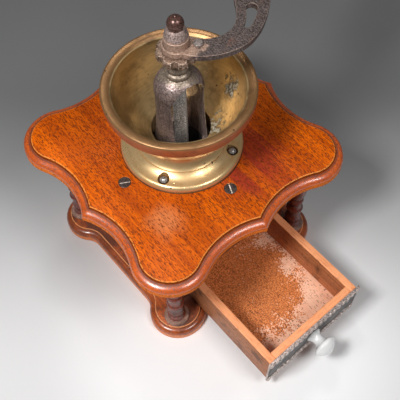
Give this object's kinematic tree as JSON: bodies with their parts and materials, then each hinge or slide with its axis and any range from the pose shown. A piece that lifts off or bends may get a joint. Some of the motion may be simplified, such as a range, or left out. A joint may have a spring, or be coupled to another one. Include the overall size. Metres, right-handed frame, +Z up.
{
  "type": "hand crank coffee grinder",
  "caption": "Wooden box coffee mill with lobed boards, turned corner columns, brass hopper, conical iron mill turned by a curved crank, and a sliding drawer for the grounds.",
  "frame": {"origin": "centre of the base board's underside, on the spindle's axis", "axes": "+Z up along the spindle, drawer pulls towards -Y, +X to the right when facing the drawer"},
  "size_m": [0.2181, 0.2618, 0.2592],
  "materials": {
    "top_wood": "oiled, open grained, worn at the edges",
    "dark_wood": "red-brown stain under worn varnish",
    "case_wood": "brown stain under worn varnish",
    "drawer_wood": "bare wood, darkened by use",
    "brass": "aged, dull patina with pitting",
    "cast_iron": "rough casting with a rust tint",
    "steel": "worn and darkened",
    "pewter": "stamped, dark grey",
    "porcelain": "glossy white glaze",
    "knob_wood": "turned, polished dark stain"
  },
  "bodies": {
    "frame": {"base_board": "dark_wood", "base_screws": "steel", "case_left_wall": "case_wood", "case_right_wall": "case_wood", "case_back_wall": "case_wood", "case_front_panel": "case_wood", "drawer_guides": "case_wood", "column_front_left": "dark_wood", "column_front_right": "dark_wood", "column_back_left": "dark_wood", "column_back_right": "dark_wood", "top_board": "top_wood", "top_screws": "steel", "hopper_foot": "brass", "hopper_bowl": "brass", "hopper_screws": "steel", "bridge": "cast_iron", "bridge_screws": "steel", "mill_housing": "cast_iron", "outer_burr": "cast_iron", "bearing_bar": "cast_iron", "bearing_bar_screws": "steel"},
    "crank": {"spindle": "steel", "grinding_cone": "cast_iron", "cone_pin": "steel", "adjusting_nut": "cast_iron", "crank_arm": "cast_iron", "lock_peg": "steel", "finial_nut": "steel", "knob_pin": "steel", "knob_washer": "steel"},
    "handle": {"hand_knob": "knob_wood"},
    "drawer": {"drawer_front": "drawer_wood", "drawer_left_side": "drawer_wood", "drawer_right_side": "drawer_wood", "drawer_back": "drawer_wood", "drawer_bottom": "drawer_wood", "drawer_plate": "pewter", "plate_pins": "steel", "drawer_pull": "porcelain", "drawer_pull_screw": "steel"}
  },
  "joints": [
    {"name": "crank_turn", "type": "hinge", "parent": "frame", "child": "crank", "pos_m": [0, 0, 0.2], "axis": [0, 0, 1], "continuous": true},
    {"name": "knob_spin", "type": "hinge", "parent": "crank", "child": "handle", "pos_m": [0.114, 0.023, 0.24], "axis": [0, 0, 1], "continuous": true},
    {"name": "drawer_slide", "type": "slide", "parent": "frame", "child": "drawer", "axis": [0, -1, 0], "range_m": [-0.092, 0.006]}
  ]
}
